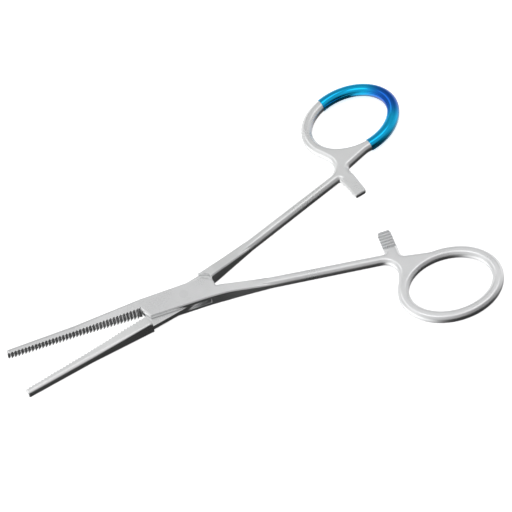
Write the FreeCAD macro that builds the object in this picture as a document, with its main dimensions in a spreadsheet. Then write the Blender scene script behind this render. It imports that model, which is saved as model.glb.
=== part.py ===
import FreeCAD, Part
import math
import os
import Sketcher

# Straight hemostatic forceps with a box lock, lying flat with the jaws a little open.
# X runs along the instrument with the jaws towards -X, Z is the pivot axis,
# and Z = 0 is the underside of the box lock. Each arm is drawn closed, with the
# mid-plane of the instrument at Z = 0 of its own body, and is then turned open.

SIZES = (
    ("rest_opening", 14.6, "angle between the arms at rest, degrees"),
    ("box_thickness", 5.2, "thickness of the box lock"),
    ("box_half_width", 4.1, "centreline to the side of the box lock"),
    ("box_front", 14.4, "pivot axis to the front of the box plates"),
    ("box_front_setback", 2.2, "how far the plate's front edge slants back"),
    ("box_rear", 10.6, "pivot axis to the rear edge of the box plates"),
    ("box_rear_lean", 0.3, "how far the rear edge leans forward"),
    ("box_rear_bevel", 2.9, "length of the slanted rear corner of a plate"),
    ("box_rear_flat", 2.1, "height of the straight rear edge of a plate"),
    ("tongue_thickness", 1.95, "thickness of the tongue between the plates"),
    ("slot_clearance", 0.05, "gap between the tongue and each plate"),
    ("shoulder_clearance", 0.25, "gap at the shoulders when closed"),
    ("shoulder_slant", 1.0, "how far the insert arm's front shoulder slants back"),
    ("pin_diameter", 3.0, "diameter of the pivot pin"),
    ("pin_clearance", 0.04, "radial running gap of the tongue on the pin"),
    ("jaw_reach", 58.9, "pivot axis to the jaw tips"),
    ("jaw_tip_width", 2.05, "width of a jaw at its tip"),
    ("jaw_tip_thickness", 3.0, "thickness of a jaw at its tip"),
    ("jaw_tip_round", 1.2, "corner radius of the jaw's back at its tip"),
    ("jaw_middle_reach", 36.0, "pivot axis to the middle section of a jaw"),
    ("jaw_middle_width", 2.85, "width of a jaw at its middle"),
    ("jaw_middle_thickness", 3.4, "thickness of a jaw at its middle"),
    ("jaw_middle_round", 1.5, "corner radius of the jaw's back at its middle"),
    ("jaw_root_width", 3.6, "width of a jaw where it meets the box lock"),
    ("jaw_root_round", 0.7, "corner radius of the jaw's back at the box lock"),
    ("jaw_nose_round", 0.7, "radius round the jaw's end"),
    ("jaw_relief", 0.12, "gap from the centreline to the face behind the serrations"),
    ("tooth_pitch", 1.13, "spacing of the jaw serrations"),
    ("tooth_depth", 0.5, "depth of a serration groove"),
    ("tooth_crest", 0.15, "width of the flat on a serration"),
    ("tooth_interlock", 0.34, "how far the closed serrations reach into each other"),
    ("tooth_count", 39, "grooves along each jaw"),
    ("shank_thickness", 3.4, "thickness of the shank, neck and ring"),
    ("shank_taper_start", 13.0, "pivot axis to where the shank starts to thin"),
    ("shank_taper_end", 22.0, "pivot axis to where the shank is at its thickness"),
    ("shank_bend", 11.8, "pivot axis to where the outer edge leaves the box lock"),
    ("shank_bend_radius", 90.0, "radius where the shank leaves the box lock"),
    ("shank_inside", 0.4, "centreline to the start of the shank's inner edge"),
    ("plate_chamfer", 0.4, "chamfer along the plates and the taper behind them"),
    ("handle_start", 20.0, "pivot axis to the section where the handle's own bevel starts"),
    ("handle_chamfer", 0.95, "bevel along the shank, neck and ring"),
    ("neck_reach", 68.2, "pivot axis to the corner outside the neck, before rounding"),
    ("neck_outside", 12.0, "centreline to the corner outside the neck"),
    ("neck_end_depth", 0.28, "how far inside the ring's rim the neck's outer side ends"),
    ("neck_radius", 4.6, "radius of the notch outside the neck"),
    ("notch_drop", 2.45, "root of the shank's inner side to the corner between neck and bar"),
    ("notch_radius", 1.5, "radius between the neck and the ratchet bar"),
    ("shank_width", 3.55, "width across the shank at its far end"),
    ("root_radius", 0.7, "radius between the shank and the ratchet bar"),
    ("neck_sink", 0.5, "how far inside the ring's rim the neck's inner side ends"),
    ("ring_blend", 9.0, "radius where the neck's sides run into the ring"),
    ("ratchet_setback", 3.3, "neck corner back to the near side of the ratchet bar"),
    ("ratchet_width", 4.4, "width of the ratchet bar"),
    ("ratchet_rise", 2.0, "shank's inner side to the root of the thinned ratchet bar"),
    ("ratchet_overlap", 0.65, "how far each ratchet bar crosses the centreline"),
    ("ratchet_gap", 0.08, "gap between the crests of the facing ratchets"),
    ("ratchet_pitch", 1.1, "spacing of the ratchet teeth"),
    ("ratchet_depth", 0.5, "depth of the ratchet teeth"),
    ("ratchet_count", 6, "teeth on each ratchet bar"),
    ("ratchet_crest", 0.2, "width of the flat on a ratchet tooth"),
    ("ratchet_corner", 0.9, "corner radius at the end of the ratchet bar"),
    ("ratchet_chamfer", 0.35, "chamfer along the outer face of the ratchet bar"),
    ("ring_ahead", 12.2, "neck corner to the centre of the finger ring, along the instrument"),
    ("ring_outward", 14.3, "neck corner to the centre of the finger ring, across"),
    ("ring_hole_length", 27.1, "length of the finger hole"),
    ("ring_hole_width", 19.8, "width of the finger hole"),
    ("ring_band", 3.55, "width of the ring's band"),
    ("coat_thickness", 0.2, "thickness of the coloured coat"),
    ("coat_outer_start", 4.1, "ring centre to the coat's end on the outer side"),
    ("coat_inner_start", 0.1, "ring centre to the coat's end on the inner side"),
)
TOUCHING = 1e-6
NEARLY_TOUCHING = 1e-4
WINDOW_OVERRUN = 1.4
NECK_END_ANGLE = 15.6
BAND_ANGLES = (40, 65, 90)


class Size:
    """A number together with the expression that keeps it tied to the sheet."""

    def __init__(self, value, text):
        self.value = value
        self.text = text

    def combine(self, other, sign, result):
        return Size(result, "(" + self.text + " " + sign + " " + as_size(other).text + ")")

    def __add__(self, other):
        return self.combine(other, "+", self.value + as_size(other).value)

    def __sub__(self, other):
        return self.combine(other, "-", self.value - as_size(other).value)

    def __mul__(self, other):
        return self.combine(other, "*", self.value * as_size(other).value)

    def __truediv__(self, other):
        return self.combine(other, "/", self.value / as_size(other).value)

    def __neg__(self):
        return Size(-self.value, "(0 - " + self.text + ")")


def as_size(number):
    if isinstance(number, Size):
        return number
    return Size(number, "(0 - " + str(-number) + ")" if number < 0 else str(number))


def make_sheet(document):
    """Writes the driving dimensions into a spreadsheet and returns them by name."""
    sheet = document.addObject("Spreadsheet::Sheet", "Sizes")
    values = {}
    for row, (name, value, meaning) in enumerate(SIZES, start=1):
        sheet.set("A" + str(row), meaning)
        sheet.set("B" + str(row), str(value))
        sheet.setAlias("B" + str(row), name)
        values[name] = Size(value, "Sizes." + name)
    document.recompute()
    add_worked_out_places(values)
    return values


def add_worked_out_places(sizes):
    """Places that follow from the driving dimensions, measured from the pivot axis."""
    s = sizes
    s["root_inside"] = s["neck_outside"] - s["shank_width"]
    s["neck_inside"] = s["root_inside"] + s["notch_drop"]
    s["ratchet_root"] = s["root_inside"] - s["ratchet_rise"]
    s["ratchet_start"] = s["neck_reach"] - s["ratchet_setback"]
    s["ratchet_end"] = s["ratchet_start"] + s["ratchet_width"]
    s["ring_reach"] = s["neck_reach"] + s["ring_ahead"]
    s["ring_offset"] = s["neck_outside"] + s["ring_outward"]
    taper_length = s["shank_taper_end"] - s["shank_taper_start"]
    taper_fall = (s["box_thickness"] - s["shank_thickness"]) / 2
    run_out = s["handle_chamfer"] / taper_fall * taper_length
    s["taper_run_out"] = s["shank_taper_end"] + run_out


def origin_feature(body, role):
    return next(item for item in body.Origin.OriginFeatures if item.Role == role)


def add_sketch(body, name, plane, offset=None):
    """A sketch on one of the body's own origin planes, moved along its normal."""
    sketch = body.newObject("Sketcher::SketchObject", name)
    sketch.AttachmentSupport = (origin_feature(body, plane), "")
    sketch.MapMode = "FlatFace"
    if offset is not None:
        sketch.AttachmentOffset = FreeCAD.Placement(
            FreeCAD.Vector(0, 0, offset.value), FreeCAD.Rotation()
        )
        sketch.setExpression("AttachmentOffset.Base.z", offset.text)
    return sketch


def pin_point(sketch, geometry, position, point, label):
    """Ties one point of a sketch to its two coordinates."""
    for axis, size in zip(("X", "Y"), point):
        name = label + "_" + axis.lower()
        index = sketch.addConstraint(
            Sketcher.Constraint("Distance" + axis, geometry, position, as_size(size).value)
        )
        sketch.renameConstraint(index, name)
        sketch.setExpression("Constraints." + name, as_size(size).text)


def vector(point):
    return FreeCAD.Vector(as_size(point[0]).value, as_size(point[1]).value, 0)


def draw_outline(sketch, corners, arcs=None):
    """Closes an outline through the corners. An arc leaves corner i through arcs[i]."""
    arcs = arcs or {}
    ends = []
    for index, corner in enumerate(corners):
        start = vector(corner)
        finish = vector(corners[(index + 1) % len(corners)])
        if index in arcs:
            curve = Part.Arc(start, vector(arcs[index]), finish)
        else:
            curve = Part.LineSegment(start, finish)
        geometry = sketch.addGeometry(curve, False)
        forward = sketch.getPoint(geometry, 1).distanceToPoint(start) < TOUCHING
        ends.append((geometry, 1, 2) if forward else (geometry, 2, 1))
    for index, corner in enumerate(corners):
        geometry, first, last = ends[index]
        following, entry, _ = ends[(index + 1) % len(corners)]
        sketch.addConstraint(Sketcher.Constraint("Coincident", geometry, last, following, entry))
        pin_point(sketch, geometry, first, corner, "corner_" + str(index))
    for index, middle in arcs.items():
        point = sketch.addGeometry(Part.Point(vector(middle)), True)
        sketch.addConstraint(Sketcher.Constraint("PointOnObject", point, 1, ends[index][0]))
        pin_point(sketch, point, 1, middle, "arc_" + str(index))


def draw_ellipse(sketch, centre, length, width, label):
    """An ellipse along the sketch's X axis, starting at its end towards -X."""
    middle = vector(centre)
    along = FreeCAD.Vector(-length.value / 2, 0, 0)
    across = FreeCAD.Vector(0, width.value / 2, 0)
    curve = Part.Ellipse(middle + along, middle + across, middle)
    ellipse = sketch.addGeometry(curve, False)
    sketch.exposeInternalGeometry(ellipse)
    sketch.addConstraint(Sketcher.Constraint("Horizontal", ellipse + 1))
    for geometry, size, name in ((ellipse + 1, length, "_length"), (ellipse + 2, width, "_width")):
        index = sketch.addConstraint(Sketcher.Constraint("Distance", geometry, size.value))
        sketch.renameConstraint(index, label + name)
        sketch.setExpression("Constraints." + label + name, size.text)
    pin_point(sketch, ellipse, 3, centre, label + "_centre")


def draw_circle(sketch, diameter):
    circle = sketch.addGeometry(
        Part.Circle(FreeCAD.Vector(), FreeCAD.Vector(0, 0, 1), diameter.value / 2), False
    )
    sketch.addConstraint(Sketcher.Constraint("Coincident", circle, 3, -1, 1))
    index = sketch.addConstraint(Sketcher.Constraint("Diameter", circle, diameter.value))
    sketch.renameConstraint(index, "diameter")
    sketch.setExpression("Constraints.diameter", diameter.text)


def add_pad(body, name, sketch, length, midplane=True):
    pad = body.newObject("PartDesign::Pad", name)
    pad.Profile = sketch
    pad.Midplane = midplane
    pad.Length = length.value
    pad.setExpression("Length", length.text)
    return finish_feature(body, pad)


def add_pocket(body, name, sketch, length, midplane=False, reverse=False):
    """Cuts a pocket and makes sure that it took material away."""
    before = body.Shape.Volume
    pocket = body.newObject("PartDesign::Pocket", name)
    pocket.Profile = sketch
    pocket.Midplane = midplane
    pocket.Reversed = reverse
    pocket.Length = length.value
    pocket.setExpression("Length", length.text)
    finish_feature(body, pocket)
    if body.Shape.Volume >= before:
        raise RuntimeError(name + " cuts nothing")
    return pocket


def add_pattern(body, name, feature, axis, pitch, count, reverse=False):
    pattern = body.newObject("PartDesign::LinearPattern", name)
    pattern.Originals = [feature]
    pattern.Direction = (origin_feature(body, axis), [""])
    pattern.Mode = "Spacing"
    pattern.Reversed = reverse
    pattern.Occurrences = int(count.value)
    pattern.setExpression("Occurrences", count.text)
    pattern.Offset = pitch.value
    pattern.setExpression("Offset", pitch.text)
    return finish_feature(body, pattern)


def add_dressing(body, kind, name, wanted, size):
    """Fillets or chamfers the edges of the body for which wanted(edge) holds."""
    base = body.Tip
    names = ["Edge" + str(i) for i, edge in enumerate(base.Shape.Edges, start=1) if wanted(edge)]
    if not names:
        raise RuntimeError(name + " finds no edge")
    feature = body.newObject("PartDesign::" + kind, name)
    feature.Base = (base, names)
    property_name = "Radius" if kind == "Fillet" else "Size"
    setattr(feature, property_name, size.value)
    feature.setExpression(property_name, size.text)
    return finish_feature(body, feature)


def finish_feature(body, feature):
    body.Tip = feature
    body.Document.recompute()
    if "Invalid" in feature.State or "Error" in feature.State or feature.Shape.isNull():
        raise RuntimeError(feature.Name + " failed in " + body.Name)
    return feature


def is_upright(edge):
    box = edge.BoundBox
    return box.XLength < TOUCHING and box.YLength < TOUCHING


def turned(point, side):
    """A point of the box arm's plan, mirrored for the insert arm by side = -1."""
    return (as_size(point[0]), as_size(point[1]) * side)


def band_point(sizes, degrees, depth):
    """A point inside the ring's rim by depth, at an angle from the near end."""
    angle = math.radians(degrees)
    width = sizes["ring_band"] - depth
    along = (sizes["ring_hole_length"] / 2 + width) * math.cos(angle)
    across = (sizes["ring_hole_width"] / 2 + width) * math.sin(angle)
    return (sizes["ring_reach"] - along, across - sizes["ring_offset"])


def side_point(sizes, x, outer):
    """A point on the shank's outer or inner side, which are straight in plan."""
    s = sizes
    near = (s["shank_bend"], s["box_half_width"])
    far = (s["neck_reach"], s["neck_outside"])
    if not outer:
        near = (s["box_rear"], s["shank_inside"])
        far = (s["ratchet_start"], s["root_inside"])
    slope = (far[1] - near[1]) / (far[0] - near[0])
    return (x, -near[1] - slope * (x - near[0]))


def draw_lock_plan(body, sizes, side):
    """Plan of the box lock and of the taper that runs out into the shank."""
    s = sizes
    half_width = s["box_half_width"]
    rear_corner = s["box_rear"] - s["box_rear_lean"]
    corners = [
        (-s["box_front"], 0),
        (s["box_front_setback"] - s["box_front"], -half_width),
        (s["shank_bend"], -half_width),
        side_point(s, s["taper_run_out"], True),
        side_point(s, s["taper_run_out"], False),
        (s["box_rear"], -s["shank_inside"]),
        (rear_corner, s["box_rear_flat"]),
        (rear_corner - s["box_rear_bevel"], half_width),
        (-s["box_front"], s["jaw_root_width"]),
    ]
    sketch = add_sketch(body, "lock_plan", "XY_Plane")
    draw_outline(sketch, [turned(point, side) for point in corners])
    return sketch


def draw_handle_plan(body, sizes, side):
    """Plan of the shank, the root of the ratchet bar and the neck, up to the ring."""
    s = sizes
    rim_inside = s["ring_offset"] - s["ring_hole_width"] / 2 - s["ring_band"]
    corners = [
        side_point(s, s["handle_start"], True),
        (s["neck_reach"], -s["neck_outside"]),
        band_point(s, NECK_END_ANGLE, s["neck_end_depth"]),
        *(band_point(s, degrees, s["ring_band"] / 2) for degrees in BAND_ANGLES),
        (s["ring_reach"], -rim_inside - s["neck_sink"]),
        (s["ratchet_end"], -s["neck_inside"]),
        (s["ratchet_end"], -s["ratchet_root"]),
        (s["ratchet_start"], -s["ratchet_root"]),
        (s["ratchet_start"], -s["root_inside"]),
        side_point(s, s["handle_start"], False),
    ]
    sketch = add_sketch(body, "handle_plan", "XY_Plane")
    draw_outline(sketch, [turned(point, side) for point in corners])
    return sketch


def round_corner(body, name, x, y, radius):
    """Rounds one upright corner of the plan, so that its edges run on smoothly."""

    def at_corner(edge):
        box = edge.BoundBox
        return is_upright(edge) and math.hypot(box.XMin - x.value, box.YMin - y.value) < TOUCHING

    add_dressing(body, "Fillet", name, at_corner, radius)


def add_ring(body, sizes, side, growth):
    """The finger ring as an elliptical band, which growth makes larger all round."""
    centre = turned((sizes["ring_reach"], -sizes["ring_offset"]), side)
    hole = (sizes["ring_hole_length"], sizes["ring_hole_width"])
    band = (sizes["ring_band"] + growth) * 2
    sketch = add_sketch(body, "ring_outline", "XY_Plane")
    draw_ellipse(sketch, centre, hole[0] - growth * 2, hole[1] - growth * 2, "hole")
    draw_ellipse(sketch, centre, hole[0] + band, hole[1] + band, "rim")
    return add_pad(body, "ring", sketch, sizes["shank_thickness"] + growth * 2)


def blend_ring(body, sizes, side):
    """Rounds the two upright corners where the neck's sides meet the ring."""
    s = sizes
    long_half = s["ring_hole_length"].value / 2 + s["ring_band"].value
    wide_half = s["ring_hole_width"].value / 2 + s["ring_band"].value

    def on_near_rim(edge):
        box = edge.BoundBox
        along = (box.XMin - s["ring_reach"].value) / long_half
        across = (box.YMin + s["ring_offset"].value * side) / wide_half
        on_rim = abs(math.hypot(along, across) - 1) < TOUCHING
        return is_upright(edge) and on_rim and along < 0.5

    add_dressing(body, "Fillet", "ring_blend", on_near_rim, s["ring_blend"])


def thin_to_shank(body, sizes):
    """Slopes both faces behind the box lock, down until they end inside the bevel."""
    s = sizes
    low_end = s["shank_thickness"] / 2 - s["handle_chamfer"]
    for name, up in (("taper_top", 1), ("taper_bottom", -1)):
        corners = [
            (s["shank_taper_start"], s["box_thickness"] / 2 * up),
            (s["taper_run_out"], low_end * up),
            (s["taper_run_out"] + s["box_thickness"], low_end * up),
            (s["taper_run_out"] + s["box_thickness"], s["box_thickness"] * up),
            (s["shank_taper_start"], s["box_thickness"] * up),
        ]
        sketch = add_sketch(body, name + "_side", "XZ_Plane")
        draw_outline(sketch, corners)
        add_pocket(body, name, sketch, s["ring_offset"] * 4, midplane=True)


def chamfer_faces(body, name, level, ends, size):
    """Breaks the edges round both flat faces, outside level, apart from those at the ends."""
    for suffix, up in (("_top", 1), ("_bottom", -1)):

        def on_rim(edge):
            box = edge.BoundBox
            lowest = min(box.ZMin * up, box.ZMax * up)
            crosses = any(
                abs(box.XMin - end) < NEARLY_TOUCHING and abs(box.XMax - end) < NEARLY_TOUCHING
                for end in ends
            )
            return lowest > level - NEARLY_TOUCHING and not crosses

        add_dressing(body, "Chamfer", name + suffix, on_rim, size)


def add_ratchet(body, sizes, side):
    """A half-thickness bar that faces the other arm's bar at the mid-plane."""
    s = sizes
    corners = [
        (s["ratchet_start"], -s["ratchet_root"] - s["ratchet_pitch"]),
        (s["ratchet_end"], -s["ratchet_root"] - s["ratchet_pitch"]),
        (s["ratchet_end"], s["ratchet_overlap"]),
        (s["ratchet_start"], s["ratchet_overlap"]),
    ]
    half = s["shank_thickness"] / 2
    level = -half if side > 0 else s["ratchet_gap"] / 2
    outline = add_sketch(body, "ratchet_outline", "XY_Plane", level)
    draw_outline(outline, [turned(point, side) for point in corners])
    add_pad(body, "ratchet_bar", outline, half - s["ratchet_gap"] / 2, midplane=False)

    def at_free_end(edge):
        away = abs(edge.BoundBox.YMin - s["ratchet_overlap"].value * side)
        return is_upright(edge) and away < TOUCHING

    add_dressing(body, "Fillet", "ratchet_corners", at_free_end, s["ratchet_corner"])
    outer_face = -side * half.value

    def on_outer_rim(edge):
        box = edge.BoundBox
        level = abs(box.ZMin - outer_face) < TOUCHING and abs(box.ZMax - outer_face) < TOUCHING
        return level and max(box.YMin * side, box.YMax * side) > -s["ratchet_pitch"].value

    add_dressing(body, "Chamfer", "ratchet_rim", on_outer_rim, s["ratchet_chamfer"])


def section_corners(sizes, width, thickness, radius, side):
    """A jaw section: flat gripping side, flat faces and a rounded back."""
    inner = -sizes["tooth_interlock"] / 2
    half = thickness / 2
    cut = radius * (1 - math.sqrt(0.5))
    corners = [
        (inner, -half),
        (inner, half),
        (width - radius, half),
        (width, half - radius),
        (width, radius - half),
        (width - radius, -half),
    ]
    arcs = {2: (width - cut, half - cut), 4: (width - cut, cut - half)}
    across = [(point[0] * side, point[1]) for point in corners]
    return across, {index: (point[0] * side, point[1]) for index, point in arcs.items()}


def add_jaw(body, sizes, side):
    """A tapered jaw lofted from its tip to the front of the box lock."""
    s = sizes
    stations = (
        ("jaw_reach", "jaw_tip_width", "jaw_tip_thickness", "jaw_tip_round"),
        ("jaw_middle_reach", "jaw_middle_width", "jaw_middle_thickness", "jaw_middle_round"),
        ("box_front", "jaw_root_width", "box_thickness", "jaw_root_round"),
    )
    sections = []
    for index, (reach, width, thickness, radius) in enumerate(stations):
        sketch = add_sketch(body, "jaw_section_" + str(index), "YZ_Plane", -s[reach])
        corners, arcs = section_corners(s, s[width], s[thickness], s[radius], side)
        draw_outline(sketch, corners, arcs)
        sections.append(sketch)
    loft = body.newObject("PartDesign::AdditiveLoft", "jaw")
    loft.Profile = sections[0]
    loft.Sections = sections[1:]
    loft.Ruled = True
    finish_feature(body, loft)
    tip = -s["jaw_reach"].value
    grip = s["tooth_interlock"].value / 2

    def round_the_nose(edge):
        box = edge.BoundBox
        on_grip = box.YLength < TOUCHING and abs(abs(box.YMin) - grip) < TOUCHING
        return box.XMax < tip + TOUCHING and not on_grip

    add_dressing(body, "Fillet", "nose", round_the_nose, s["jaw_nose_round"])


def add_serrations(body, sizes, side, first_groove):
    """Cross grooves along the gripping face, and the relief behind the last one."""
    s = sizes
    face = -s["tooth_interlock"] / 2
    outside = face - s["tooth_depth"]
    half_mouth = (s["tooth_pitch"] - s["tooth_crest"]) / 2
    start = first_groove - s["jaw_reach"]
    corners = [
        (start - half_mouth, face),
        (start, face + s["tooth_depth"]),
        (start + half_mouth, face),
        (start + half_mouth, outside),
        (start - half_mouth, outside),
    ]
    groove = add_sketch(body, "groove_profile", "XY_Plane")
    draw_outline(groove, [turned(point, side) for point in corners])
    cut = add_pocket(body, "groove", groove, s["box_thickness"] * 2, midplane=True)
    add_pattern(body, "grooves", cut, "X_Axis", s["tooth_pitch"], s["tooth_count"])
    last = start + s["tooth_pitch"] * (s["tooth_count"] - 1)
    corners = [
        (last, s["jaw_relief"]),
        (-s["box_front"], s["jaw_relief"]),
        (-s["box_front"], outside),
        (last, outside),
    ]
    relief = add_sketch(body, "relief_outline", "XY_Plane")
    draw_outline(relief, [turned(point, side) for point in corners])
    add_pocket(body, "relief", relief, s["box_thickness"] * 2, midplane=True)


def add_ratchet_teeth(body, sizes, side):
    """Saw teeth across the bar, steep on the side that holds the rings together."""
    s = sizes
    crest = -s["ratchet_gap"] / 2
    clear = s["ratchet_depth"]
    first = s["ratchet_overlap"] - s["ratchet_crest"]
    mouth = s["ratchet_pitch"] - s["ratchet_crest"]
    corners = [
        (first, crest - s["ratchet_depth"]),
        (first, crest + clear),
        (first - mouth, crest + clear),
        (first - mouth, crest),
    ]
    beyond = s["ratchet_end"] + clear
    profile = add_sketch(body, "ratchet_profile", "YZ_Plane", beyond)
    draw_outline(profile, [(point[0] * side, point[1] * side) for point in corners])
    cut = add_pocket(body, "ratchet_groove", profile, s["ratchet_width"] + clear * 2)
    add_pattern(
        body, "ratchet_teeth", cut, "Y_Axis", s["ratchet_pitch"], s["ratchet_count"], side > 0
    )


def lock_window(sizes, side, front_slant):
    """Plan of the space that the other arm fills in the lock, with its clearance."""
    s = sizes
    gap = s["shoulder_clearance"]
    beyond = s["box_half_width"] * WINDOW_OVERRUN
    front = s["box_front"] + gap
    rear = s["box_rear"] + gap
    rear_corner = rear - s["box_rear_lean"]
    bevel_slope = s["box_rear_bevel"] / (s["box_half_width"] - s["box_rear_flat"])
    flat = s["box_rear_flat"] + gap / 2
    corners = [
        (-front, -beyond),
        (-front, 0),
        (front_slant * WINDOW_OVERRUN - front, beyond),
        (rear, beyond),
        (rear, 0),
        (rear_corner, -flat),
        (rear_corner - bevel_slope * (beyond - flat), -beyond),
    ]
    return [turned(point, side) for point in corners]


def cut_slot(body, sizes, side):
    """The window through the box arm, between its two plates."""
    s = sizes
    window = add_sketch(body, "slot_outline", "XY_Plane")
    draw_outline(window, lock_window(s, side, s["box_front_setback"]))
    add_pocket(body, "slot", window, s["tongue_thickness"] + s["slot_clearance"] * 2, midplane=True)


def cut_shoulders(body, sizes, side):
    """Thins the insert arm on both faces, which leaves the tongue."""
    s = sizes
    for name, up in (("shoulder_top", 1), ("shoulder_bottom", -1)):
        outline = add_sketch(body, name + "_outline", "XY_Plane", s["tongue_thickness"] / 2 * up)
        draw_outline(outline, lock_window(s, side, s["shoulder_slant"]))
        add_pocket(body, name, outline, s["box_thickness"], reverse=up > 0)


def add_bore(body, sizes, diameter):
    circle = add_sketch(body, "bore_circle", "XY_Plane")
    draw_circle(circle, diameter)
    add_pocket(body, "bore", circle, sizes["box_thickness"] * 2, midplane=True)


def place_body(body, sizes, side):
    """Lifts a body onto the ground and turns it from closed to its rest angle."""
    s = sizes
    angle = s["rest_opening"] / 2 * -side
    lift = s["box_thickness"] / 2
    axis = FreeCAD.Vector(0, 0, 1)
    turn = FreeCAD.Rotation(axis, angle.value)
    body.Placement = FreeCAD.Placement(FreeCAD.Vector(0, 0, lift.value), turn)
    body.setExpression("Placement.Base.z", lift.text)
    body.setExpression("Placement.Rotation.Angle", angle.text)
    body.Document.recompute()


def build_handle(document, name, sizes, side):
    """Shank, ratchet root, neck and ring, with their bevels, as a body to be fused."""
    s = sizes
    body = document.addObject("PartDesign::Body", name)
    add_pad(body, "blank", draw_handle_plan(body, s, side), s["shank_thickness"])
    for corner, x, y, radius in (
        ("neck_round", s["neck_reach"], s["neck_outside"], s["neck_radius"]),
        ("notch_round", s["ratchet_end"], s["neck_inside"], s["notch_radius"]),
        ("root_round", s["ratchet_start"], s["root_inside"], s["root_radius"]),
    ):
        round_corner(body, corner, x, y * -side, radius)
    add_ring(body, s, side, as_size(0))
    blend_ring(body, s, side)
    level = s["shank_thickness"].value / 2
    chamfer_faces(body, "handle_rim", level, [s["handle_start"].value], s["handle_chamfer"])
    return body


def build_lock(document, name, sizes, side):
    """The blank of the box lock with its bevels, tapered towards the shank."""
    s = sizes
    body = document.addObject("PartDesign::Body", name)
    add_pad(body, "blank", draw_lock_plan(body, s, side), s["box_thickness"])
    bend = s["box_half_width"] * -side
    round_corner(body, "shank_bend_round", s["shank_bend"], bend, s["shank_bend_radius"])
    thin_to_shank(body, s)
    ends = [-s["box_front"].value, s["shank_taper_start"].value, s["taper_run_out"].value]
    level = s["shank_thickness"].value / 2 - s["handle_chamfer"].value
    chamfer_faces(body, "lock_rim", level, ends, s["plate_chamfer"])
    return body


def build_arm(document, name, sizes, side, cut_lock, bore, first_groove):
    """What the two arms share: side is 1 for the box arm and -1 for the insert arm."""
    body = build_lock(document, name, sizes, side)
    body.Label = name
    handle = build_handle(document, name + "_handle", sizes, side)
    join = body.newObject("PartDesign::Boolean", "join_handle")
    join.Type = "Fuse"
    join.addObject(handle)
    finish_feature(body, join)
    add_ratchet(body, sizes, side)
    cut_lock(body, sizes, side)
    add_bore(body, sizes, bore)
    add_ratchet_teeth(body, sizes, side)
    add_jaw(body, sizes, side)
    add_serrations(body, sizes, side, first_groove)
    place_body(body, sizes, side)
    return body


def build_box_arm(document, sizes):
    bore = sizes["pin_diameter"]
    first_groove = sizes["tooth_pitch"] / 2
    return build_arm(document, "box_arm", sizes, 1, cut_slot, bore, first_groove)


def build_insert_arm(document, sizes):
    bore = sizes["pin_diameter"] + sizes["pin_clearance"] * 2
    return build_arm(document, "insert_arm", sizes, -1, cut_shoulders, bore, as_size(0))


def build_pivot_pin(document, sizes):
    """The riveted pin, ground flush with both plates."""
    body = document.addObject("PartDesign::Body", "pivot_pin")
    body.Label = "pivot_pin"
    circle = add_sketch(body, "pin_circle", "XY_Plane")
    draw_circle(circle, sizes["pin_diameter"])
    add_pad(body, "pin", circle, sizes["box_thickness"])
    place_body(body, sizes, 1)
    return body


def add_chamfered_ring(document, name, sizes, growth, chamfer):
    """A body that holds the whole band of the insert arm's ring, larger by growth."""
    body = document.addObject("PartDesign::Body", name)
    add_ring(body, sizes, -1, growth)

    def is_level(edge):
        return edge.BoundBox.ZLength < TOUCHING

    add_dressing(body, "Chamfer", "rims", is_level, chamfer)
    place_body(body, sizes, -1)
    return body


def build_ring_coat(document, sizes):
    """The coloured layer on the far part of the insert arm's ring."""
    s = sizes
    growth = s["coat_thickness"]
    outer_chamfer = s["handle_chamfer"] + growth * (2 - math.sqrt(2))
    core = add_chamfered_ring(document, "coat_core", s, as_size(0), s["handle_chamfer"])
    sleeve = add_chamfered_ring(document, "coat_sleeve", s, growth, outer_chamfer)
    reach = s["ring_reach"]
    corners = [
        (reach - s["coat_outer_start"], -s["ring_offset"] * 2),
        (reach - s["coat_outer_start"], -s["ring_offset"]),
        (reach - s["coat_inner_start"], -s["ring_offset"]),
        (reach - s["coat_inner_start"], 0),
        (0, 0),
        (0, -s["ring_offset"] * 2),
    ]
    bare = add_sketch(sleeve, "bare_outline", "XY_Plane")
    draw_outline(bare, [turned(point, -1) for point in corners])
    add_pocket(sleeve, "bare", bare, s["box_thickness"] * 2, midplane=True)
    coat = document.addObject("Part::Cut", "ring_coat")
    coat.Label = "ring_coat"
    coat.Base = sleeve
    coat.Tool = core
    document.recompute()
    return coat


def check_document(document, pieces):
    """Stops unless every object has been computed and every piece is a sound solid."""
    for item in document.Objects:
        if "Invalid" in item.State or "Error" in item.State:
            raise RuntimeError(item.Name + " failed")
    for piece in pieces:
        if piece.Shape.isNull() or not piece.Shape.isValid() or len(piece.Shape.Solids) != 1:
            raise RuntimeError(piece.Label + " is not one valid solid")


def main():
    document = FreeCAD.newDocument("forceps")
    sizes = make_sheet(document)
    box_arm = build_box_arm(document, sizes)
    insert_arm = build_insert_arm(document, sizes)
    pivot_pin = build_pivot_pin(document, sizes)
    ring_coat = build_ring_coat(document, sizes)
    pieces = (box_arm, insert_arm, pivot_pin, ring_coat)
    document.recompute()
    check_document(document, pieces)
    os.makedirs("parts", exist_ok=True)
    for piece in pieces:
        piece.Shape.exportStep("parts/" + piece.Label + ".step")


main()
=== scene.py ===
import math

import bpy
from mathutils import Matrix, Vector


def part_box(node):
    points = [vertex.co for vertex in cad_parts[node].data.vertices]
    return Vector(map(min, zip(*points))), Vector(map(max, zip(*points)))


# Looks of the straight hemostatic forceps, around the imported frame. Metres throughout,
# and texture scales are per metre.

MILLIMETRE = 0.001

# The camera stands where the photograph was taken from. PIVOT_PIXEL is where the middle
# of the box lock shows, counted from the picture's top left corner.
IMAGE_SIZE = 512
SENSOR_WIDTH = 36.0
FOCAL_PIXELS = 2743.0
CAMERA_AZIMUTH = -15.334
CAMERA_ELEVATION = 56.028
CAMERA_ROLL = -11.534
CAMERA_DISTANCE = 0.8723
PIVOT_PIXEL = (184.65, 298.35)
CLIP_SHARE = 0.01

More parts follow.
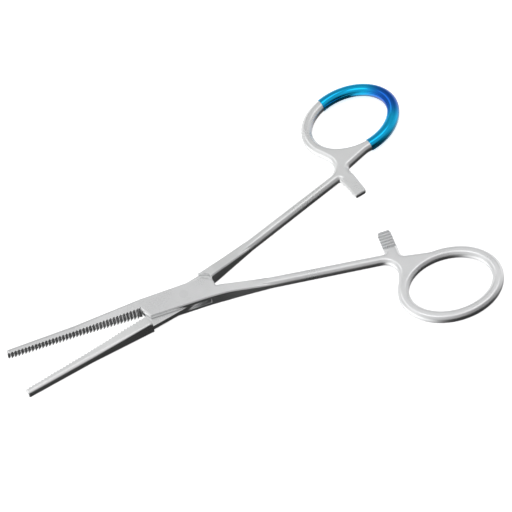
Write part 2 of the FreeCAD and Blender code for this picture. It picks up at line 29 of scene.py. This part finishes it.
FLOOR_SIZE = 6.0
FLOOR_COLOUR = (0.92, 0.92, 0.92, 1)
FLOOR_GLOW = 0.65
WHITE = (1, 1, 1, 1)

# The studio is pale all round. Each spot changes its grey around one direction:
# (direction, cosine where it starts, cosine where it is full, change).
STUDIO_GREY = 1.1
STUDIO_SPOTS = (
    # Greyer above the horizon, and pale again overhead.
    ((0, 0, 1), -0.1, 0.3, -0.3),
    ((0, 0, 1), 0.6, 0.95, 0.3),
    # The grey that lies on the flat tops.
    ((0.145, 0.536, 0.832), 0.6, 0.97, -0.3),
    # A dark corner low in front, which darkens the near sides.
    ((0.15, -0.75, -0.64), -0.05, 0.85, -1.06),
    # Pale above on the left.
    ((-0.8, 0.0, 0.6), 0.92, 0.99, 0.3),
    # A calm patch, so that the near bevels don't glare.
    ((0.25, -0.28, 0.91), 0.9, 0.985, -0.27),
    # Pale below on the left.
    ((-0.86, -0.16, -0.48), 0.68, 0.88, 1.0),
    # Three lamps overhead, which draw thin lights along the coat and the edges.
    ((-0.3, -0.1, 0.94), 0.955, 0.99, 1.1),
    ((-0.36, 0.536, 0.765), 0.955, 0.99, 1.2),
    ((0.325, 0.176, 0.914), 0.965, 0.99, 1.1),
)

# Steel: each node's material and its grey where it is polished.
STEEL_DRESS = (
    ("box_arm_steel", "box_arm", (0.78, 0.785, 0.79)),
    ("insert_arm_steel", "insert_arm", (0.78, 0.787, 0.787)),
    ("pin_steel", "pivot_pin", (0.75, 0.755, 0.76)),
)
CLOUD_SCALE = 90.0
CLOUD_DETAIL = 3.0
CLOUD_SHADE = 0.95
GRAIN_SCALE = 7000.0
GRAIN_STRETCH = (0.35, 1.0, 1.0)
STEEL_ROUGHNESS = (0.25, 0.31)
GRAIN_ROUGHNESS = 0.04
SCRATCH_SCALES = (60.0, 2200.0, 2200.0)
SCRATCH_TURN = (0, 0, 0.35)
SCRATCH_RANGE = (0.68, 0.76)
STEEL_BUMP = 0.012
BUMP_DISTANCE = 0.02 * MILLIMETRE

# Painted shade: the steel's colour is darkened in grooves, where little is open within
# GROOVE_DISTANCE:
# fully at the first share of GROOVE_RANGE, and not at all from the second on.
SURFACE_SAMPLES = 8
GROOVE_DISTANCE = 0.7 * MILLIMETRE
GROOVE_RANGE = (0.35, 0.85)
# The share of the grey left in the grooves under the painted shade.
GROOVE_PAINTED_SHADE = 0.62

# Edges are shaded as rounded: finely as far as HANDLE_FROM along x, broadly from
# HANDLE_FULL on, and finely again at the ratchet's teeth, whose grooves are kept free of the
# painted shade.
FINE_ROUNDING = 0.12 * MILLIMETRE
HANDLE_ROUNDING = 0.8 * MILLIMETRE
HANDLE_FROM = 0.018
HANDLE_FULL = 0.034
RATCHET_MIDDLES = {
    "box_arm": (0.0662, -0.0116, 0.0026),
    "insert_arm": (0.0662, 0.0116, 0.0026),
}
RATCHET_REACH = 0.0045
RATCHET_FADE = 1.3

# The middle line of the coated ring's band, an ellipse that is turned with its arm.
RING_CENTRE = (0.0764, 0.0363, 0.0026)
RING_TURN = 7.3
RING_LONG_HALF = 0.01533
RING_WIDE_HALF = 0.01168

# The coat: two close blues, and painted shade, a deeper blue, around one direction from the
# ring's centre.
COAT_ROUNDNESS = 0.92
COAT_LIGHT_BLUES = ((0.0, 0.36, 0.66, 1), (0.0, 0.41, 0.73, 1))
COAT_PAINTED_SHADE_BLUE = (0.0, 0.08, 0.42, 1)
COAT_PAINTED_SHADE_DIRECTION = (0.99, 0.14, 0.0)
COAT_PAINTED_SHADE_RANGE = (0.8, 1.0)
COAT_CLOUD_SCALE = 160.0
COAT_ROUGHNESS = (0.05, 0.08)
COAT_METALLIC = 0.95
COAT_IOR = 1.5
COAT_GLOSS = 0.2
COAT_GLOSS_ROUGHNESS = 0.06
COAT_BUMP = 0.1

# The parts of a noise's values that are spread over its whole effect.
CLOUD_RANGE = (0.3, 0.7)
WIDE_CLOUD_RANGE = (0.25, 0.75)
GRAIN_RANGE = (0.2, 0.8)


def box_middle():
    """The pivot axis at half the thickness of the box lock."""
    low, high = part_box("pivot_pin")
    return Vector((0, 0, (low[2] + high[2]) / 2))


def add_camera():
    azimuth = math.radians(CAMERA_AZIMUTH)
    elevation = math.radians(CAMERA_ELEVATION)
    roll = math.radians(CAMERA_ROLL)
    back = Vector(
        (
            math.sin(azimuth) * math.cos(elevation),
            -math.cos(azimuth) * math.cos(elevation),
            math.sin(elevation),
        )
    )
    level = Vector((math.cos(azimuth), math.sin(azimuth), 0))
    upright = back.cross(level)
    right = level * math.cos(roll) + upright * math.sin(roll)
    up = upright * math.cos(roll) - level * math.sin(roll)
    across = (PIVOT_PIXEL[0] - IMAGE_SIZE / 2) / FOCAL_PIXELS * CAMERA_DISTANCE
    along = (IMAGE_SIZE / 2 - PIVOT_PIXEL[1]) / FOCAL_PIXELS * CAMERA_DISTANCE
    place = box_middle() + back * CAMERA_DISTANCE - right * across - up * along
    data = bpy.data.cameras.new("photo_camera")
    data.sensor_width = SENSOR_WIDTH
    data.lens = FOCAL_PIXELS * SENSOR_WIDTH / IMAGE_SIZE
    data.clip_start = CAMERA_DISTANCE * CLIP_SHARE
    camera = bpy.data.objects.new("photo_camera", data)
    turn = Matrix((right, up, back)).transposed().to_4x4()
    camera.matrix_world = Matrix.Translation(place) @ turn
    bpy.context.scene.collection.objects.link(camera)
    bpy.context.scene.camera = camera


class Shading:
    """A node tree with short ways to add and join nodes."""

    def __init__(self, tree):
        self.tree = tree

    def add(self, kind, settings=None, **inputs):
        """Adds a node. An input given as a socket is linked, and any other is set."""
        node = self.tree.nodes.new(kind)
        for name, value in (settings or {}).items():
            setattr(node, name, value)
        for name, value in inputs.items():
            self.feed(self.socket(node, name), value)
        return node

    def feed(self, socket, value):
        if isinstance(value, bpy.types.NodeSocket):
            self.tree.links.new(value, socket)
        else:
            socket.default_value = value

    @staticmethod
    def socket(node, name):
        """An input by its name, or by its place where several share a name."""
        if name.startswith("input_"):
            return node.inputs[int(name[len("input_"):])]
        return node.inputs[name.replace("_", " ").title()]

    def place(self):
        return self.add("ShaderNodeTexCoord").outputs["Object"]

    def stretched(self, place, scale, turn=(0, 0, 0)):
        node = self.add("ShaderNodeMapping", Vector=place, Scale=scale, Rotation=turn)
        return node.outputs["Vector"]

    def noise(self, place, scale, detail=2.0):
        node = self.add(
            "ShaderNodeTexNoise", Vector=place, Scale=scale, Detail=detail, Roughness=0.5
        )
        return node.outputs["Fac"]

    def spread(self, value, start, end, to_start=0.0, to_end=1.0):
        """Maps a value smoothly from one range to another, and holds it inside."""
        node = self.add(
            "ShaderNodeMapRange",
            {"interpolation_type": "SMOOTHSTEP"},
            Value=value,
            From_Min=start,
            From_Max=end,
            To_Min=to_start,
            To_Max=to_end,
        )
        return node.outputs["Result"]

    def math(self, operation, first, second=0.0):
        node = self.add(
            "ShaderNodeMath", {"operation": operation}, input_0=first, input_1=second
        )
        return node.outputs["Value"]

    def vector(self, operation, first, second=(0, 0, 0)):
        """The vector that a vector operation gives."""
        node = self.add(
            "ShaderNodeVectorMath", {"operation": operation}, input_0=first, input_1=second
        )
        return node.outputs["Vector"]

    def measure(self, operation, first, second):
        """The number that a vector operation gives."""
        node = self.add(
            "ShaderNodeVectorMath", {"operation": operation}, input_0=first, input_1=second
        )
        return node.outputs["Value"]

    def turned(self, vector, angle):
        """A vector turned about the vertical."""
        node = self.add(
            "ShaderNodeVectorRotate", {"rotation_type": "Z_AXIS"}, Vector=vector, Angle=angle
        )
        return node.outputs["Vector"]

    def mix_colour(self, share, first, second):
        node = self.add(
            "ShaderNodeMix", {"data_type": "RGBA"}, input_0=share, input_6=first, input_7=second
        )
        return node.outputs[2]

    def mix_vector(self, share, first, second):
        node = self.add(
            "ShaderNodeMix", {"data_type": "VECTOR"}, input_0=share, input_4=first, input_5=second
        )
        return node.outputs[1]


def new_material(name):
    """A material with its nodes cleared down to a shader and an output."""
    material = bpy.data.materials.new(name)
    material.use_nodes = True
    nodes = material.node_tree.nodes
    nodes.clear()
    shader = nodes.new("ShaderNodeBsdfPrincipled")
    output = nodes.new("ShaderNodeOutputMaterial")
    material.node_tree.links.new(shader.outputs["BSDF"], output.inputs["Surface"])
    return material, shader


def add_floor():
    """A white floor. It glows a little, so that contact shadows stay faint."""
    mesh = bpy.data.meshes.new("floor")
    half = FLOOR_SIZE / 2
    corners = [(-half, -half, 0), (half, -half, 0), (half, half, 0), (-half, half, 0)]
    mesh.from_pydata(corners, [], [(0, 1, 2, 3)])
    floor = bpy.data.objects.new("floor", mesh)
    bpy.context.scene.collection.objects.link(floor)
    material, shader = new_material("floor_white")
    shader.inputs["Base Color"].default_value = FLOOR_COLOUR
    shader.inputs["Roughness"].default_value = 1.0
    shader.inputs["Specular IOR Level"].default_value = 0.0
    shader.inputs["Emission Color"].default_value = WHITE
    shader.inputs["Emission Strength"].default_value = FLOOR_GLOW
    mesh.materials.append(material)
    floor.visible_glossy = False


def add_studio():
    """Soft light from a pale room all round."""
    world = bpy.data.worlds.new("studio")
    world.use_nodes = True
    tree = world.node_tree
    shading = Shading(tree)
    direction = shading.add("ShaderNodeTexCoord").outputs["Generated"]
    grey = STUDIO_GREY
    for aim, start, full, change in STUDIO_SPOTS:
        cosine = shading.measure("DOT_PRODUCT", direction, tuple(Vector(aim).normalized()))
        grey = shading.math("ADD", grey, shading.spread(cosine, start, full, 0.0, change))
    background = tree.nodes["Background"]
    tree.links.new(grey, background.inputs["Color"])
    background.inputs["Strength"].default_value = 1.0
    bpy.context.scene.world = world


def give_material(node, material):
    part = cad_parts[node]
    part.data.materials.clear()
    part.data.materials.append(material)


def shaded(colour, share=1.0):
    return tuple(channel * share for channel in colour) + (1,)


def beyond_ratchet(shading, place, node):
    """0 on the ratchet's teeth and 1 away from them."""
    distance = shading.measure("DISTANCE", place, RATCHET_MIDDLES[node])
    return shading.spread(distance, RATCHET_REACH, RATCHET_REACH * RATCHET_FADE)


def rounded_normal(shading, place, beyond):
    """Softens the edges: finely at the jaws, box and ratchet, more along the handle."""
    x = shading.add("ShaderNodeSeparateXYZ", input_0=place).outputs["X"]
    on_handle = shading.math("MULTIPLY", shading.spread(x, HANDLE_FROM, HANDLE_FULL), beyond)
    radius = shading.spread(on_handle, 0.0, 1.0, FINE_ROUNDING, HANDLE_ROUNDING)
    node = shading.add("ShaderNodeBevel", {"samples": SURFACE_SAMPLES}, Radius=radius)
    return node.outputs["Normal"]


def dress_steel(name, node, base_grey):
    """Satin stainless steel: fine grain, faint scratches, and painted shade in its grooves."""
    material, shader = new_material(name)
    shading = Shading(material.node_tree)
    place = shading.place()
    cloudy = shading.noise(place, CLOUD_SCALE, CLOUD_DETAIL)
    grain = shading.noise(shading.stretched(place, GRAIN_STRETCH), GRAIN_SCALE)
    # Painted shade: ambient occlusion finds the grooves, and their colour is darkened below.
    openness = shading.add(
        "ShaderNodeAmbientOcclusion", {"samples": SURFACE_SAMPLES}, Distance=GROOVE_DISTANCE
    ).outputs["AO"]
    unshaded_share = shading.spread(openness, *GROOVE_RANGE)
    beyond = 1.0
    # Near the ratchet's teeth the painted groove shade is lifted.
    if node in RATCHET_MIDDLES:
        beyond = beyond_ratchet(shading, place, node)
        unshaded_share = shading.math("MAXIMUM", unshaded_share, shading.math("SUBTRACT", 1.0, beyond))
    polished = shading.mix_colour(
        shading.spread(cloudy, *CLOUD_RANGE), shaded(base_grey, CLOUD_SHADE), shaded(base_grey)
    )
    # Painted shade: the grooves' colour is darkened from the polished grey.
    colour = shading.mix_colour(unshaded_share, shaded(base_grey, GROOVE_PAINTED_SHADE), polished)
    rough = shading.math(
        "ADD",
        shading.spread(cloudy, *WIDE_CLOUD_RANGE, *STEEL_ROUGHNESS),
        shading.spread(grain, *GRAIN_RANGE, 0.0, GRAIN_ROUGHNESS),
    )
    scratches = shading.noise(shading.stretched(place, SCRATCH_SCALES, SCRATCH_TURN), 1.0)
    bump = shading.add(
        "ShaderNodeBump",
        Strength=STEEL_BUMP,
        Distance=BUMP_DISTANCE,
        Height=shading.math("SUBTRACT", grain, shading.spread(scratches, *SCRATCH_RANGE)),
        Normal=rounded_normal(shading, place, beyond),
    )
    shading.feed(shader.inputs["Base Color"], colour)
    shading.feed(shader.inputs["Roughness"], rough)
    shading.feed(shader.inputs["Normal"], bump.outputs["Normal"])
    shader.inputs["Metallic"].default_value = 1.0
    give_material(node, material)


def tube_normal(shading, place):
    """The normal of a round coat about the ring's middle line, which is an ellipse."""
    turn = math.radians(RING_TURN)
    level = shading.turned(shading.vector("SUBTRACT", place, RING_CENTRE), -turn)
    parts = shading.add("ShaderNodeSeparateXYZ", input_0=level).outputs
    angle = shading.math(
        "ARCTAN2",
        shading.math("MULTIPLY", parts["Y"], RING_LONG_HALF),
        shading.math("MULTIPLY", parts["X"], RING_WIDE_HALF),
    )
    middle_x = shading.math("MULTIPLY", shading.math("COSINE", angle), RING_LONG_HALF)
    middle_y = shading.math("MULTIPLY", shading.math("SINE", angle), RING_WIDE_HALF)
    outward = shading.add(
        "ShaderNodeCombineXYZ",
        X=shading.math("SUBTRACT", parts["X"], middle_x),
        Y=shading.math("SUBTRACT", parts["Y"], middle_y),
        Z=parts["Z"],
    ).outputs["Vector"]
    in_world = shading.add(
        "ShaderNodeVectorTransform",
        {"vector_type": "NORMAL", "convert_from": "OBJECT", "convert_to": "WORLD"},
        Vector=shading.vector("NORMALIZE", shading.turned(outward, turn)),
    ).outputs["Vector"]
    faceted = shading.add("ShaderNodeNewGeometry").outputs["Normal"]
    return shading.mix_vector(COAT_ROUNDNESS, faceted, in_world)


def dress_coat():
    """A smooth glossy blue coat, with painted shade in deeper blue at the ring's far end."""
    material, shader = new_material("blue_gloss")
    shading = Shading(material.node_tree)
    place = shading.place()
    cloudy = shading.noise(place, COAT_CLOUD_SCALE)
    toward = shading.vector("NORMALIZE", shading.vector("SUBTRACT", place, RING_CENTRE))
    # Painted shade: the blue deepens on the side of the ring around this direction.
    cosine = shading.measure("DOT_PRODUCT", toward, COAT_PAINTED_SHADE_DIRECTION)
    light = shading.mix_colour(shading.spread(cloudy, *CLOUD_RANGE), *COAT_LIGHT_BLUES)
    # Painted shade: the deeper blue is mixed over the coat's own blues there.
    colour = shading.mix_colour(
        shading.spread(cosine, *COAT_PAINTED_SHADE_RANGE), light, COAT_PAINTED_SHADE_BLUE
    )
    bump = shading.add(
        "ShaderNodeBump",
        Strength=COAT_BUMP,
        Distance=BUMP_DISTANCE,
        Height=cloudy,
        Normal=tube_normal(shading, place),
    )
    rough = shading.spread(cloudy, *CLOUD_RANGE, *COAT_ROUGHNESS)
    shading.feed(shader.inputs["Base Color"], colour)
    shading.feed(shader.inputs["Roughness"], rough)
    shading.feed(shader.inputs["Normal"], bump.outputs["Normal"])
    shading.feed(shader.inputs["Coat Normal"], bump.outputs["Normal"])
    shader.inputs["Metallic"].default_value = COAT_METALLIC
    shader.inputs["IOR"].default_value = COAT_IOR
    shader.inputs["Coat Weight"].default_value = COAT_GLOSS
    shader.inputs["Coat Roughness"].default_value = COAT_GLOSS_ROUGHNESS
    give_material("ring_coat", material)


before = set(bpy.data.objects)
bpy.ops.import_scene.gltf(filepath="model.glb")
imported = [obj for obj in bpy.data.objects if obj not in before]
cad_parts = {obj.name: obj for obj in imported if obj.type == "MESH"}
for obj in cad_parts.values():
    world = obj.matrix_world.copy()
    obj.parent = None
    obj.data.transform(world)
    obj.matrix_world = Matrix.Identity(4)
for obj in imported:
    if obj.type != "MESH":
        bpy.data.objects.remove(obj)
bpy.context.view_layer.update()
bpy.context.scene.view_settings.view_transform = "Standard"
add_camera()
add_floor()
add_studio()
for name, node, base_grey in STEEL_DRESS:
    dress_steel(name, node, base_grey)
dress_coat()
